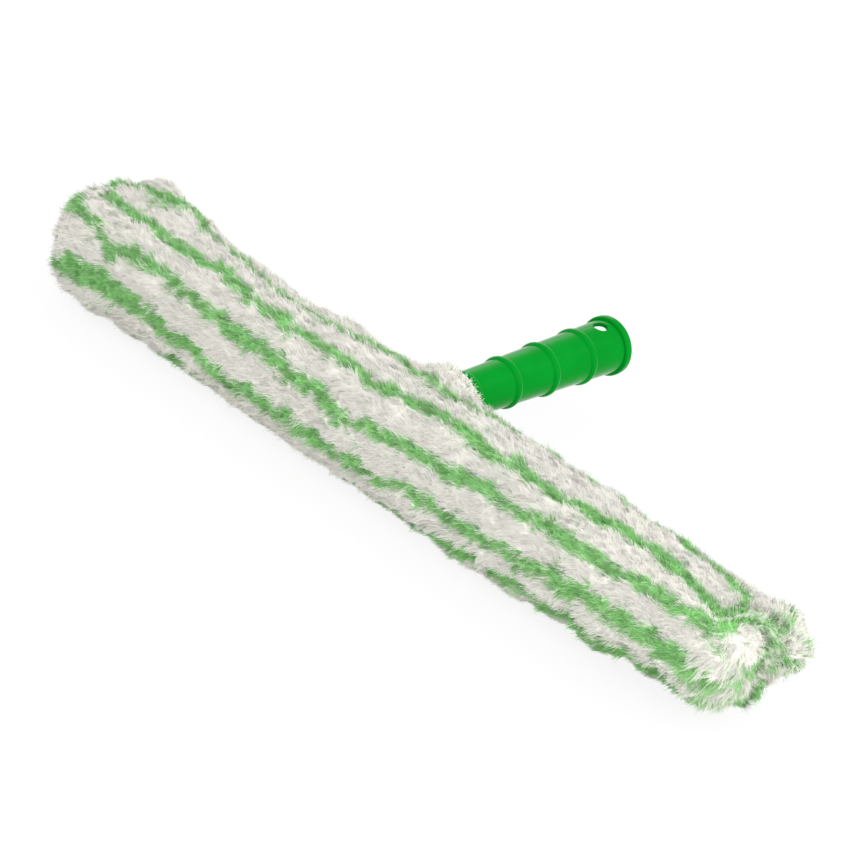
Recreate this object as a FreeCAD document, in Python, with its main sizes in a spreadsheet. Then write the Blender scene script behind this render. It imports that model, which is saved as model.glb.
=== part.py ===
import FreeCAD, Part
import os
import Sketcher

# Window scrubber: a moulded T-bar dressed in a removable striped pile sleeve.
# X runs along the bar, Y along the handle and Z up, all in millimetres. The origin is at the
# middle of the sleeve's flat underside. Every body is drawn about the bar's axis and lifted to it.

doc = FreeCAD.newDocument("window_scrubber")
sheet = doc.addObject("Spreadsheet::Sheet", "sheet")

dimensions = (
    ("barLength", 424, "crossbar tube without its end plugs"),
    ("barDepth", 32, "crossbar from front to back"),
    ("barHeight", 22, "crossbar from underside to top"),
    ("barCorner", 6, "rounding of the crossbar's long edges"),
    ("barWall", 2.2, "wall of the hollow crossbar"),
    ("slotLength", 16, "water slot along the bar"),
    ("slotWidth", 9, "water slot across the bar"),
    ("slotPitch", 25, "step from one water slot to the next"),
    ("slotMargin", 6, "bar left whole before the first slot and after the last"),
    ("plugFlange", 3, "end plug outside the bar"),
    ("plugInsert", 14, "end plug inside the bar"),
    ("plugWall", 2, "wall of the end plug's insert"),
    ("plugRound", 2, "rounding of the end plug's rim"),
    ("seatGap", 0.1, "play between rigid pieces that seat on each other"),
    ("neckReach", 51, "bar axis to the first ring of the handle"),
    ("ringPitch", 28, "step from one ring to the next, and to the end lip"),
    ("ringCount", 4, "rings on the handle, apart from the end lip"),
    ("ringWidth", 5, "ring along the handle"),
    ("ringRise", 1.2, "ring above the grip"),
    ("lipWidth", 4.6, "end lip along the handle"),
    ("lipRise", 1.5, "end lip above the grip"),
    ("lipRound", 1.3, "rounding of the end lip"),
    ("gripWall", 2.3, "wall of the hollow handle at both ends"),
    ("socketRadius", 12, "socket at its mouth"),
    ("socketRootRadius", 9.4, "socket at its floor"),
    ("socketLand", 30, "straight stretch of the socket from the mouth"),
    ("socketStop", 5, "first ring to the socket's floor"),
    ("mouthChamfer", 1, "lead-in at the socket's mouth"),
    ("lockHoleRadius", 4, "hole for a pole's locking button or a hook"),
    ("lockHoleSetback", 12, "handle's end to the locking hole"),
    ("saddleLength", 76, "saddle along the bar"),
    ("saddleLip", 2.4, "saddle above and below the bar"),
    ("saddleReach", 12, "saddle's grip over the back of the bar"),
    ("saddleBack", 6, "saddle behind the bar"),
    ("neckStraight", 4.5, "straight neck between the flared hub and the sleeve's edge"),
    ("screwInset", 13, "saddle's end to the screw"),
    ("screwRadius", 2, "shank of the saddle screw"),
    ("screwHeadRadius", 4.2, "countersunk head of the saddle screw"),
    ("screwBite", 12, "screw inside the saddle"),
    ("screwTipRoom", 1, "pilot hole past the screw's tip"),
    ("spacerRadius", 4.6, "outside of the spacer bush"),
    ("spacerPlay", 0.5, "play of the screw in the spacer bush"),
    ("fitGap", 0.3, "play of the sleeve on the T-bar"),
    ("endSlack", 0.8, "bar's end to the sleeve's mouth"),
    ("clothThick", 1.5, "woven backing"),
    ("pileThick", 16, "pile on the front and back"),
    ("pileAbove", 13, "pile on top"),
    ("pileBelow", 19, "pile underneath"),
    ("endPile", 15, "pile on the two ends"),
    ("undersideCorner", 22, "rounding of the pile's lower long edges"),
    ("topCorner", 26, "rounding of the pile's upper long edges"),
    ("endRound", 20, "rounding of the pile's two ends"),
    ("slimLength", 62, "thinner stretch of the pile at the sewn end"),
    ("taperLength", 78, "stretch over which the pile gets thinner"),
    ("slimLift", 6.5, "rise of the pile's underside at the sewn end"),
    ("slimDrop", 4.5, "fall of the pile's top at the sewn end"),
    ("creaseRound", 12, "rounding of the two lobes at the sewn end"),
    ("creaseGap", 3, "width of the crease between the lobes"),
    ("neckFlareLength", 140, "root of the pile's neck along the bar"),
    ("neckFlareHeight", 44, "root of the pile's neck from underside to top"),
    ("neckSink", 16, "root of the neck inside the head"),
    ("neckPile", 3.2, "pile at the neck's edge"),
    ("neckSetback", 2, "neck's binding to the first ring"),
    ("bindingThick", 1.2, "binding and facing tapes"),
    ("bindingWidth", 3, "neck's binding along the handle"),
    ("bindingRise", 1.2, "neck's binding above the backing"),
    ("slitGap", 0.6, "slit between its two bound edges"),
    ("seamReach", 5, "seam allowance in the crease"),
    ("seamThick", 2.2, "seam allowance across the crease"),
    ("flapGap", 0.4, "play between the end flap and the sleeve"),
    ("flapReturn", 48, "flap on the back of the sleeve"),
    ("shearedPile", 1.2, "pile left under the flap"),
    ("stripThick", 1.2, "hook or loop tape"),
    ("stripHeight", 12, "loop tape across the sleeve"),
    ("stripInset", 6, "flap's edges to the tapes"),
    ("stripMargin", 0.5, "slit's binding to the loop tape"),
    ("hookGap", 0.3, "hook tape to loop tape"),
    ("hemWidth", 6, "binding on the flap's free edge"),
)
for row, (alias, value, note) in enumerate(dimensions, start=1):
    sheet.set(f"A{row}", str(value))
    sheet.setAlias(f"A{row}", alias)
    sheet.set(f"B{row}", note)
doc.recompute()

# Places that several pieces share, worked out from the cells. Along X they count from the middle
# of the bar, along Y and Z from its axis. Cutting shapes run past what they cut by the overrun.
bar_back = "(sheet.barDepth / 2)"
bar_top = "(sheet.barHeight / 2)"
bar_end = "(sheet.barLength / 2 + sheet.plugFlange)"
mouth = f"({bar_end} + sheet.endSlack)"
cloth_end = f"({mouth} + sheet.flapGap + sheet.clothThick)"
head_half = f"({cloth_end} + sheet.endPile)"
cloth_offset = "(sheet.fitGap + sheet.clothThick)"
half_depth = f"({bar_back} + {cloth_offset} + sheet.pileThick)"
head_top = f"({bar_top} + {cloth_offset} + sheet.pileAbove)"
axis_height = f"({bar_top} + {cloth_offset} + sheet.pileBelow)"
saddle_half = "(sheet.saddleLength / 2)"
saddle_top = f"({bar_top} + sheet.saddleLip)"
saddle_front = f"({bar_back} - sheet.saddleReach)"
saddle_rear = f"({bar_back} + sheet.saddleBack)"
handle_end = "(sheet.neckReach + sheet.ringPitch * sheet.ringCount)"
root_radius = "(sheet.socketRootRadius + sheet.gripWall)"
end_radius = "(sheet.socketRadius + sheet.gripWall)"
neck_stop = "(sheet.neckReach - sheet.ringWidth / 2 - sheet.neckSetback - sheet.bindingWidth)"
hub_top = f"({neck_stop} - sheet.neckStraight)"
neck_bore = f"({root_radius} + sheet.fitGap)"
screw_place = f"({saddle_half} - sheet.screwInset)"
screw_hole = "(sheet.screwRadius + sheet.seatGap)"
slit_half = "(sheet.slitGap / 2 + sheet.bindingThick)"
recess_face = f"({bar_back} + {cloth_offset} + sheet.shearedPile)"
loop_face = f"({recess_face} + sheet.stripThick)"
hook_face = f"({loop_face} + sheet.hookGap)"
flap_face = f"({hook_face} + sheet.stripThick)"
flap_edge = f"({mouth} - sheet.flapReturn)"
strip_low = f"({slit_half} + sheet.stripMargin)"
strip_high = f"({strip_low} + sheet.stripHeight)"
behind_end = f"({head_half} + sheet.endPile)"
overrun = "2"


def size_of(expression):
    return float(sheet.evalExpression(expression.replace("sheet.", "")))


def new_body(label):
    body = doc.addObject("PartDesign::Body", label)
    body.setExpression("Placement.Base.z", axis_height)
    return body


def origin_part(body, role):
    return next(part for part in body.Origin.OriginFeatures if part.Role == role)


def new_sketch(body, name, plane, offset="0"):
    sketch = body.newObject("Sketcher::SketchObject", name)
    sketch.AttachmentSupport = [(origin_part(body, plane), "")]
    sketch.MapMode = "FlatFace"
    sketch.setExpression("AttachmentOffset.Base.z", offset)
    return sketch


def tie(sketch, name, constraint, expression):
    index = sketch.addConstraint(constraint)
    sketch.renameConstraint(index, name)
    sketch.setExpression(f"Constraints.{name}", expression)


def tie_point(sketch, edge, end, name, kind, axis, expression):
    value = size_of(expression)
    if abs(value) < 1e-9:
        sketch.addConstraint(Sketcher.Constraint("PointOnObject", edge, end, axis))
    elif value > 0:
        tie(sketch, name, Sketcher.Constraint(kind, -1, 1, edge, end, value), expression)
    else:
        tie(sketch, name, Sketcher.Constraint(kind, edge, end, -1, 1, -value), f"-({expression})")


def outline(sketch, corners):
    # A closed outline, anticlockwise, through corners given as two expressions. A third one makes
    # the edge after that corner an arc of that radius, which bulges outwards, or inwards where a
    # fourth value says so.
    points = [FreeCAD.Vector(size_of(corner[0]), size_of(corner[1]), 0) for corner in corners]
    ends = []
    for i, corner in enumerate(corners):
        start = points[i]
        stop = points[(i + 1) % len(points)]
        inward = len(corner) == 4
        if len(corner) == 2:
            sketch.addGeometry(Part.LineSegment(start, stop))
        else:
            chord = stop - start
            radius = size_of(corner[2])
            side = FreeCAD.Vector(chord.y, -chord.x, 0).normalize() * (-1 if inward else 1)
            rise = radius - (radius ** 2 - chord.Length ** 2 / 4) ** 0.5
            sketch.addGeometry(Part.Arc(start, (start + stop) * 0.5 + side * rise, stop))
        ends.append((2, 1) if inward else (1, 2))
    for i, corner in enumerate(corners):
        after = (i + 1) % len(points)
        sketch.addConstraint(Sketcher.Constraint("Coincident", i, ends[i][1], after, ends[after][0]))
        tie_point(sketch, i, ends[i][0], f"across_{i}", "DistanceX", -2, corner[0])
        tie_point(sketch, i, ends[i][0], f"along_{i}", "DistanceY", -1, corner[1])
        if len(corner) > 2:
            tie(sketch, f"bend_{i}", Sketcher.Constraint("Radius", i, size_of(corner[2])), corner[2])


def rounded_box(sketch, half_width, half_tall, corner):
    cushion_box(sketch, half_width, half_tall, half_tall, corner, corner)


def cushion_box(sketch, half_width, below, above, low_corner, high_corner):
    outline(sketch, [
        (f"-{half_width} + {low_corner}", f"-{below}"),
        (f"{half_width} - {low_corner}", f"-{below}", low_corner),
        (half_width, f"-{below} + {low_corner}"),
        (half_width, f"{above} - {high_corner}", high_corner),
        (f"{half_width} - {high_corner}", above),
        (f"-{half_width} + {high_corner}", above, high_corner),
        (f"-{half_width}", f"{above} - {high_corner}"),
        (f"-{half_width}", f"-{below} + {low_corner}", low_corner),
    ])


def stadium(sketch, half_width, half_tall, centre="0"):
    straight = f"({half_width} - {half_tall})"
    outline(sketch, [
        (f"{centre} - {straight}", f"-{half_tall}"),
        (f"{centre} + {straight}", f"-{half_tall}", half_tall),
        (f"{centre} + {half_width}", "0", half_tall),
        (f"{centre} + {straight}", half_tall),
        (f"{centre} - {straight}", half_tall, half_tall),
        (f"{centre} - {half_width}", "0", half_tall),
    ])


def circle(sketch, across, along, radius, name="ring"):
    middle = FreeCAD.Vector(size_of(across), size_of(along), 0)
    edge = sketch.addGeometry(Part.Circle(middle, FreeCAD.Vector(0, 0, 1), size_of(radius)))
    tie_point(sketch, edge, 3, f"{name}_across", "DistanceX", -2, across)
    tie_point(sketch, edge, 3, f"{name}_along", "DistanceY", -1, along)
    tie(sketch, f"{name}_radius", Sketcher.Constraint("Radius", edge, size_of(radius)), radius)


def feature(body, kind, name, sketch, length=None, reversed_way=False, both_ways=False):
    made = body.newObject(f"PartDesign::{kind}", name)
    made.Profile = sketch
    if length:
        made.setExpression("Length", length)
    made.Reversed = reversed_way
    if both_ways:
        made.SideType = "Symmetric"
    body.Tip = made
    return made


def turned(body, kind, name, sketch):
    made = body.newObject(f"PartDesign::{kind}", name)
    made.Profile = sketch
    made.ReferenceAxis = (sketch, ["V_Axis"])
    made.Angle = 360
    body.Tip = made


def loft(body, name, first, last):
    made = body.newObject("PartDesign::AdditiveLoft", name)
    made.Profile = first
    made.Sections = [last]
    body.Tip = made


def block(name, x_span, y_span, z_span):
    made = doc.addObject("Part::Box", name)
    spans = zip(("Length", "Width", "Height"), "xyz", (x_span, y_span, z_span))
    for side, place, (low, high) in spans:
        made.setExpression(side, f"({high}) - ({low})")
        lift = f" + {axis_height}" if place == "z" else ""
        made.setExpression(f"Placement.Base.{place}", f"({low}){lift}")
    return made


def rod(name, kind, x_place, y_start, length, sizes):
    made = doc.addObject(f"Part::{kind}", name)
    made.Placement.Rotation = FreeCAD.Rotation(FreeCAD.Vector(1, 0, 0), -90)
    for side, value in sizes.items():
        made.setExpression(side, value)
    made.setExpression("Height", length)
    made.setExpression("Placement.Base.x", x_place)
    made.setExpression("Placement.Base.y", y_start)
    made.setExpression("Placement.Base.z", axis_height)
    return made


def fused(name, shapes):
    made = doc.addObject("Part::MultiFuse", name)
    made.Shapes = shapes
    return made


def cut(name, base, tools):
    made = doc.addObject("Part::Cut", name)
    made.Base = base
    made.Tool = tools[0] if len(tools) == 1 else fused(f"{name}_tools", tools)
    return made


def common(name, base, tool):
    made = doc.addObject("Part::Common", name)
    made.Base = base
    made.Tool = tool
    return made


def group(name, shapes):
    made = doc.addObject("Part::Compound", name)
    made.Links = shapes
    return made


def make_crossbar():
    body = new_body("crossbar")
    skin = new_sketch(body, "bar_skin", "YZ_Plane")
    rounded_box(skin, bar_back, bar_top, "sheet.barCorner")
    feature(body, "Pad", "bar", skin, "sheet.barLength", both_ways=True)
    core = new_sketch(body, "bar_core", "YZ_Plane")
    rounded_box(core, f"({bar_back} - sheet.barWall)", f"({bar_top} - sheet.barWall)",
                "(sheet.barCorner - sheet.barWall)")
    feature(body, "Pocket", "hollow", core, f"sheet.barLength + {overrun}", both_ways=True)
    doc.recompute()
    holes = new_sketch(body, "screw_places", "XZ_Plane", bar_back)
    circle(holes, screw_place, "0", screw_hole, "right")
    circle(holes, f"-{screw_place}", "0", screw_hole, "left")
    drilled = body.newObject("PartDesign::Hole", "screw_holes")
    drilled.Profile = holes
    doc.recompute()
    drilled.ThreadType = "None"
    drilled.HoleCutType = "Countersink"
    drilled.HoleCutCustomValues = True
    drilled.setExpression("Diameter", f"2 * {screw_hole}")
    drilled.setExpression("HoleCutDiameter", "2 * (sheet.screwHeadRadius + sheet.seatGap)")
    drilled.HoleCutCountersinkAngle = 90
    drilled.DepthType = "ThroughAll"
    body.Tip = drilled
    doc.recompute()
    slot_start = f"({saddle_half} + sheet.slotMargin + sheet.slotLength / 2)"
    slot_stop = "(sheet.barLength / 2 - sheet.plugInsert - sheet.slotMargin - sheet.slotLength / 2)"
    slot_steps = f"floor(({slot_stop} - {slot_start}) / sheet.slotPitch)"
    for side, sign in (("right", ""), ("left", "-")):
        shape = new_sketch(body, f"{side}_slot_shape", "XY_Plane")
        stadium(shape, "(sheet.slotLength / 2)", "(sheet.slotWidth / 2)", f"{sign}{slot_start}")
        slot = feature(body, "Pocket", f"{side}_slot", shape, f"sheet.barHeight + {overrun}",
                       both_ways=True)
        row = body.newObject("PartDesign::LinearPattern", f"{side}_slots")
        row.Originals = [slot]
        row.Direction = (origin_part(body, "X_Axis"), [""])
        row.Reversed = side == "left"
        row.setExpression("Occurrences", f"{slot_steps} + 1")
        row.setExpression("Length", f"{slot_steps} * sheet.slotPitch")
        body.Tip = row
    return body


def make_plug(side, facing_left):
    body = new_body(f"{side}_end_plug")
    place = "-sheet.barLength / 2" if facing_left else "sheet.barLength / 2"
    rim = new_sketch(body, f"{side}_rim", "YZ_Plane", place)
    rounded_box(rim, bar_back, bar_top, "sheet.barCorner")
    flange = feature(body, "Pad", f"{side}_flange", rim, "sheet.plugFlange", reversed_way=facing_left)
    insert_wall = "(sheet.barWall + sheet.seatGap)"
    insert = new_sketch(body, f"{side}_insert_shape", "YZ_Plane", place)
    rounded_box(insert, f"({bar_back} - {insert_wall})", f"({bar_top} - {insert_wall})",
                f"(sheet.barCorner - {insert_wall})")
    feature(body, "Pad", f"{side}_insert", insert, "sheet.plugInsert", reversed_way=not facing_left)
    inside_wall = f"({insert_wall} + sheet.plugWall)"
    inside = new_sketch(body, f"{side}_inside_shape", "YZ_Plane", place)
    rounded_box(inside, f"({bar_back} - {inside_wall})", f"({bar_top} - {inside_wall})",
                f"(sheet.barCorner - {inside_wall})")
    hollow = feature(body, "Pocket", f"{side}_inside", inside, "sheet.plugInsert", reversed_way=facing_left)
    doc.recompute()
    outside = -size_of(bar_end) if facing_left else size_of(bar_end)
    rounding = body.newObject("PartDesign::Fillet", f"{side}_rounding")
    rounding.Base = (hollow, edges_at(hollow, outside))
    rounding.setExpression("Radius", "sheet.plugRound")
    body.Tip = rounding
    return body


def edges_at(solid, x_place):
    # The edges of a face that stands square to X at the given place.
    names = []
    for number, edge in enumerate(solid.Shape.Edges, start=1):
        box = edge.BoundBox
        if abs(box.XMin - x_place) < 1e-6 and abs(box.XMax - x_place) < 1e-6:
            names.append(f"Edge{number}")
    return names


def grip_radius(place):
    share = f"(({place} - sheet.neckReach) / (sheet.ringPitch * sheet.ringCount))"
    return f"({root_radius} + ({end_radius} - {root_radius}) * {share})"


def make_handle():
    body = new_body("handle")
    saddle_shape = new_sketch(body, "saddle_shape", "XZ_Plane", f"-{saddle_front}")
    stadium(saddle_shape, saddle_half, saddle_top)
    feature(body, "Pad", "saddle", saddle_shape, "sheet.saddleReach + sheet.saddleBack",
            reversed_way=True)
    hub_root = new_sketch(body, "hub_root", "XZ_Plane", f"-{saddle_rear}")
    stadium(hub_root, saddle_half, saddle_top)
    hub_neck = new_sketch(body, "hub_neck", "XZ_Plane", f"-{hub_top}")
    circle(hub_neck, "0", "0", root_radius)
    loft(body, "hub", hub_root, hub_neck)

    grip_start = f"({bar_back} + sheet.saddleBack / 2)"
    bead_radius = "(sheet.ringWidth ^ 2 / (8 * sheet.ringRise) + sheet.ringRise / 2)"
    first_bead = "(sheet.neckReach - sheet.ringWidth / 2)"
    corners = [("0", grip_start), (grip_radius(first_bead), grip_start)]
    for ring in range(int(size_of("sheet.ringCount"))):
        middle = f"(sheet.neckReach + sheet.ringPitch * {ring})"
        low = f"({middle} - sheet.ringWidth / 2)"
        high = f"({middle} + sheet.ringWidth / 2)"
        corners += [(grip_radius(low), low, bead_radius), (grip_radius(high), high)]
    lip_root = f"({handle_end} - sheet.lipWidth)"
    lip_radius = f"({end_radius} + sheet.lipRise)"
    lip_inner = f"({lip_radius} - sheet.lipRound)"
    corners += [
        (grip_radius(lip_root), lip_root),
        (lip_inner, lip_root, "sheet.lipRound"),
        (lip_radius, f"{lip_root} + sheet.lipRound"),
        (lip_radius, f"{handle_end} - sheet.lipRound", "sheet.lipRound"),
        (lip_inner, handle_end),
        ("0", handle_end),
    ]
    grip_shape = new_sketch(body, "grip_shape", "XY_Plane")
    outline(grip_shape, corners)
    turned(body, "Revolution", "grip", grip_shape)

    bar_seat = new_sketch(body, "bar_seat", "YZ_Plane")
    rounded_box(bar_seat, f"({bar_back} + sheet.seatGap)", f"({bar_top} + sheet.seatGap)",
                "(sheet.barCorner + sheet.seatGap)")
    feature(body, "Pocket", "seat", bar_seat, f"sheet.saddleLength + {overrun}", both_ways=True)

    socket_floor = "(sheet.neckReach + sheet.socketStop)"
    socket_shape = new_sketch(body, "socket_shape", "XY_Plane")
    outline(socket_shape, [
        ("0", socket_floor),
        ("sheet.socketRootRadius", socket_floor),
        ("sheet.socketRadius", f"{handle_end} - sheet.socketLand"),
        ("sheet.socketRadius", f"{handle_end} - sheet.mouthChamfer"),
        ("sheet.socketRadius + sheet.mouthChamfer", handle_end),
        ("0", handle_end),
    ])
    turned(body, "Groove", "socket", socket_shape)

    lock_shape = new_sketch(body, "lock_shape", "XY_Plane")
    circle(lock_shape, "0", f"({handle_end} - sheet.lockHoleSetback)", "sheet.lockHoleRadius")
    feature(body, "Pocket", "lock_hole", lock_shape, f"{end_radius} + sheet.lipRise", reversed_way=True)

    pilot_shape = new_sketch(body, "pilot_shape", "XZ_Plane", f"-{bar_back}")
    circle(pilot_shape, screw_place, "0", screw_hole, "right")
    circle(pilot_shape, f"-{screw_place}", "0", screw_hole, "left")
    feature(body, "Pocket", "pilots", pilot_shape, "sheet.screwBite + sheet.screwTipRoom")
    return body


def make_screws():
    screws = []
    for side, place in (("left", f"-{screw_place}"), ("right", screw_place)):
        head = rod(f"{side}_head", "Cone", place, f"-{bar_back}",
                   "sheet.screwHeadRadius - sheet.screwRadius",
                   {"Radius1": "sheet.screwHeadRadius", "Radius2": "sheet.screwRadius"})
        shank = rod(f"{side}_shank", "Cylinder", place, f"-{bar_back}",
                    "sheet.barDepth + sheet.screwBite", {"Radius": "sheet.screwRadius"})
        screws.append(fused(f"{side}_screw", [head, shank]))
    return group("saddle_screws", screws)


def make_spacers():
    inner_front = f"(-{bar_back} + sheet.barWall)"
    inner_room = "(sheet.barDepth - 2 * sheet.barWall)"
    spacers = []
    for side, place in (("left", f"-{screw_place}"), ("right", screw_place)):
        bush = rod(f"{side}_bush", "Cylinder", place, inner_front, inner_room,
                   {"Radius": "sheet.spacerRadius"})
        bore = rod(f"{side}_bush_bore", "Cylinder", place, inner_front, inner_room,
                   {"Radius": "sheet.screwRadius + sheet.spacerPlay"})
        spacers.append(cut(f"{side}_spacer", bush, [bore]))
    return group("screw_spacers", spacers)


def t_form(name, offset, left, right, neck_end):
    # The T-bar's own shape, grown by an offset: bar, saddle, hub and neck.
    body = new_body(name)
    bar_shape = new_sketch(body, f"{name}_bar_shape", "YZ_Plane", f"-{left}")
    rounded_box(bar_shape, f"({bar_back} + {offset})", f"({bar_top} + {offset})",
                f"(sheet.barCorner + {offset})")
    feature(body, "Pad", f"{name}_bar", bar_shape, f"{left} + {right}")
    rear = f"({saddle_rear} + {offset})"
    saddle_shape = new_sketch(body, f"{name}_saddle_shape", "XZ_Plane", f"-({saddle_front} - {offset})")
    stadium(saddle_shape, f"({saddle_half} + {offset})", f"({saddle_top} + {offset})")
    feature(body, "Pad", f"{name}_saddle", saddle_shape,
            f"sheet.saddleReach + sheet.saddleBack + 2 * {offset}", reversed_way=True)
    hub_root = new_sketch(body, f"{name}_hub_root", "XZ_Plane", f"-{rear}")
    stadium(hub_root, f"({saddle_half} + {offset})", f"({saddle_top} + {offset})")
    hub_neck = new_sketch(body, f"{name}_hub_neck", "XZ_Plane", f"-{hub_top}")
    circle(hub_neck, "0", "0", f"({root_radius} + {offset})")
    loft(body, f"{name}_hub", hub_root, hub_neck)
    neck_shape = new_sketch(body, f"{name}_neck_shape", "XZ_Plane", f"-{hub_top}")
    circle(neck_shape, "0", "0", f"({root_radius} + {offset})")
    feature(body, "Pad", f"{name}_neck", neck_shape, f"{neck_end} - {hub_top}", reversed_way=True)
    return body


def make_envelope():
    # The whole outside of the pile: the head, thinner towards its sewn end, with its rounded ends,
    # the neck and the crease.
    body = new_body("envelope")
    slim_start = f"({head_half} - sheet.slimLength)"
    taper_start = f"({slim_start} - sheet.taperLength)"
    slim_below = f"({axis_height} - sheet.slimLift)"
    slim_above = f"({head_top} - sheet.slimDrop)"
    slim_corner = "(sheet.topCorner - sheet.slimDrop)"
    head_shape = new_sketch(body, "head_shape", "YZ_Plane", f"-{head_half}")
    taper_root = new_sketch(body, "taper_root", "YZ_Plane", taper_start)
    for sketch in (head_shape, taper_root):
        cushion_box(sketch, half_depth, axis_height, head_top, "sheet.undersideCorner", "sheet.topCorner")
    taper_tip = new_sketch(body, "taper_tip", "YZ_Plane", slim_start)
    slim_shape = new_sketch(body, "slim_shape", "YZ_Plane", slim_start)
    for sketch in (taper_tip, slim_shape):
        cushion_box(sketch, half_depth, slim_below, slim_above, "sheet.undersideCorner", slim_corner)
    feature(body, "Pad", "head", head_shape, f"{head_half} + {taper_start}")
    loft(body, "taper", taper_root, taper_tip)
    head = feature(body, "Pad", "slim_end", slim_shape, "sheet.slimLength")
    doc.recompute()
    rounding = body.newObject("PartDesign::Fillet", "end_rounding")
    rounding.Base = (head, edges_at(head, -size_of(head_half)) + edges_at(head, size_of(head_half)))
    rounding.setExpression("Radius", "sheet.endRound")
    body.Tip = rounding
    neck_root = new_sketch(body, "neck_root", "XZ_Plane", f"-({half_depth} - sheet.neckSink)")
    stadium(neck_root, "(sheet.neckFlareLength / 2)", "(sheet.neckFlareHeight / 2)")
    neck_edge = new_sketch(body, "neck_edge", "XZ_Plane", f"-{neck_stop}")
    circle(neck_edge, "0", "0", f"({root_radius} + {cloth_offset} + sheet.neckPile)")
    loft(body, "neck", neck_root, neck_edge)
    lobe_edge = "(sheet.creaseGap / 2 + sheet.creaseRound)"
    lobe_start = f"({head_half} - sheet.creaseRound)"
    outside = f"({head_half} + sheet.creaseGap)"
    crease_shape = new_sketch(body, "crease_shape", "XY_Plane")
    outline(crease_shape, [
        (cloth_end, "-sheet.creaseGap / 2"),
        (lobe_start, "-sheet.creaseGap / 2", "sheet.creaseRound", "inward"),
        (head_half, f"-{lobe_edge}"),
        (outside, f"-{lobe_edge}"),
        (outside, lobe_edge),
        (head_half, lobe_edge, "sheet.creaseRound", "inward"),
        (lobe_start, "sheet.creaseGap / 2"),
        (cloth_end, "sheet.creaseGap / 2"),
    ])
    feature(body, "Pocket", "crease", crease_shape, f"2 * {axis_height} + 2 * {head_top}", both_ways=True)
    return body


def make_sleeve(envelope):
    past_neck = f"({neck_stop} + sheet.pileThick)"
    tall = (f"-{axis_height} - {overrun}", f"{head_top} + {overrun}")
    facing = f"(-{mouth} + sheet.bindingThick)"
    cavity = t_form("cavity", "sheet.fitGap", behind_end, f"({mouth} + sheet.flapGap)", past_neck)
    core = t_form("core", cloth_offset, behind_end, cloth_end, past_neck)
    cloth = t_form("cloth", cloth_offset, f"-{facing}", cloth_end, neck_stop)
    slit = block("slit", (f"-{behind_end}", "0"), (bar_back, past_neck), (f"-{slit_half}", slit_half))
    left_side = block("left_side", (f"-{behind_end}", facing), (f"-{behind_end}", behind_end), tall)
    recess_stop = f"(-{flap_edge} + sheet.bindingThick + sheet.flapGap)"
    recess = block("recess", (f"-{behind_end}", recess_stop), (recess_face, behind_end), tall)

    backing = cut("sleeve_backing", cloth, [cavity, slit])
    pile = cut("sleeve_pile", envelope, [core, slit, left_side, recess])

    mouth_slab = block("mouth_slab", (f"-{mouth}", facing), (f"-{behind_end}", recess_face), tall)
    mouth_binding = cut("mouth_binding", common("mouth_face", envelope, mouth_slab), [cavity, slit])

    band = rod("neck_band", "Cylinder", "0", neck_stop, "sheet.bindingWidth",
               {"Radius": f"{root_radius} + {cloth_offset} + sheet.bindingRise"})
    band_bore = rod("neck_band_bore", "Cylinder", "0", neck_stop, "sheet.bindingWidth",
                    {"Radius": neck_bore})
    neck_binding = cut("neck_binding", band, [band_bore, slit])

    slit_span = (facing, f"-({saddle_half} + {cloth_offset})")
    slit_depth = (f"{bar_back} + sheet.fitGap", recess_face)
    slit_bindings = group("slit_bindings", [
        block("upper_slit_binding", slit_span, slit_depth, ("sheet.slitGap / 2", slit_half)),
        block("lower_slit_binding", slit_span, slit_depth, (f"-{slit_half}", "-sheet.slitGap / 2")),
    ])
    end_seam = block("end_seam", (cloth_end, f"{cloth_end} + sheet.seamReach"),
                     ("-sheet.seamThick / 2", "sheet.seamThick / 2"), (f"-{bar_top}", bar_top))
    strip_span = (f"-{mouth} + sheet.stripInset", f"-{flap_edge} - sheet.stripInset")
    loop_strips = group("loop_strips", [
        block("upper_loop", strip_span, (recess_face, loop_face), (strip_low, strip_high)),
        block("lower_loop", strip_span, (recess_face, loop_face), (f"-{strip_high}", f"-{strip_low}")),
    ])
    hook_strip = block("hook_strip", strip_span, (hook_face, flap_face), (f"-{strip_high}", strip_high))
    return [backing, pile, mouth_binding, neck_binding, slit_bindings, end_seam, loop_strips, hook_strip]


def make_flap(envelope):
    tall = (f"-{axis_height} - {overrun}", f"{head_top} + {overrun}")
    wall_in = f"(-{mouth} - sheet.flapGap)"
    wall_out = f"({wall_in} - sheet.clothThick)"
    cloth_out = f"({flap_face} + sheet.clothThick)"
    end_cloth = block("end_cloth", (wall_out, wall_in), (f"-{behind_end}", cloth_out), tall)
    back_cloth = block("back_cloth", (wall_out, f"-{flap_edge}"), (flap_face, cloth_out), tall)
    flap_backing = common("flap_backing", envelope, fused("flap_cloth", [end_cloth, back_cloth]))
    end_side = block("end_side", (f"-{behind_end}", wall_out), (f"-{behind_end}", behind_end), tall)
    back_side = block("back_side", (wall_out, f"-{flap_edge}"), (cloth_out, behind_end), tall)
    flap_pile = common("flap_pile", envelope, fused("flap_side", [end_side, back_side]))
    hem_tape = block("hem_tape", (f"-{flap_edge}", f"-{flap_edge} + sheet.bindingThick"),
                     (flap_face, f"{flap_face} + sheet.hemWidth"), tall)
    flap_hem = common("flap_hem", envelope, hem_tape)
    return [flap_backing, flap_pile, flap_hem]


pile_envelope = make_envelope()
pieces = [make_crossbar(), make_plug("left", True), make_plug("right", False), make_handle()]
pieces += [make_screws(), make_spacers()]
pieces += make_sleeve(pile_envelope) + make_flap(pile_envelope)
doc.recompute()

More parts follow.
